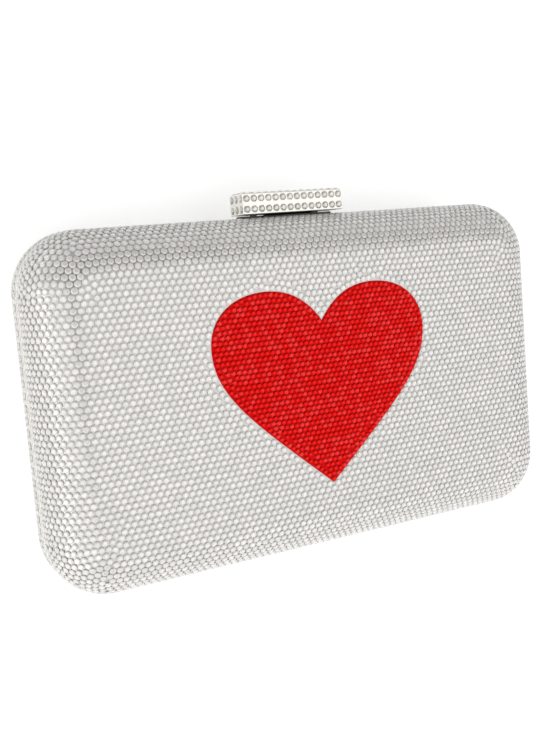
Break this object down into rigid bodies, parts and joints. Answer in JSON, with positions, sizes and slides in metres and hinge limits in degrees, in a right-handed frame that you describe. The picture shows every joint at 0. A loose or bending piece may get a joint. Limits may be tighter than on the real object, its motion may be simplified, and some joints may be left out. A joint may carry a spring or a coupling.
{
  "type": "box clutch purse",
  "caption": "Hard rounded box clutch covered in clear crystals, with a red crystal heart on the front, a hinge along the lower edge and a rocking crystal-set clasp bar on the upper edge.",
  "frame": {"origin": "middle of the flat back face, on which the clutch lies", "axes": "+X along the width, +Y from the hinge edge to the clasp edge, +Z out of the front face"},
  "size_m": [0.19, 0.1231, 0.038],
  "materials": {
    "clear_crystal": "faceted, foil backed",
    "red_crystal": "faceted, foil backed",
    "shell": "moulded",
    "lining": "satin",
    "silver_metal": "polished plate",
    "spring_steel": "bright drawn"
  },
  "bodies": {
    "back_half": {"back_crystal_cover": "clear_crystal", "back_shell": "shell", "back_lining_panel": "lining", "back_lining_band": "lining", "back_frame": "silver_metal", "back_hinge_leaf": "silver_metal", "hinge_pin": "spring_steel", "chain_eye_left": "silver_metal", "chain_eye_right": "silver_metal", "clasp_base": "silver_metal", "clasp_return_spring": "spring_steel"},
    "front_half": {"front_crystal_cover": "clear_crystal", "heart_crystal_inlay": "red_crystal", "front_shell": "shell", "front_lining_panel": "lining", "front_lining_band": "lining", "front_frame": "silver_metal", "front_hinge_leaf": "silver_metal", "catch_spring": "spring_steel"},
    "clasp": {"clasp_bar": "silver_metal", "clasp_crystals": "clear_crystal", "clasp_pin": "spring_steel"}
  },
  "joints": [
    {"name": "front_open", "type": "hinge", "parent": "back_half", "child": "front_half", "pos_m": [0, -0.05625, 0.019], "axis": [1, 0, 0], "range_deg": [0, 90], "deforming": ["catch_spring"]},
    {"name": "clasp_tilt", "type": "hinge", "parent": "back_half", "child": "clasp", "pos_m": [0, 0.06065, 0.019], "axis": [-1, 0, 0], "range_deg": [0, 12], "stiffness_Nm_per_rad": 0.05, "springref_deg": -11.46, "deforming": ["clasp_return_spring"]}
  ]
}
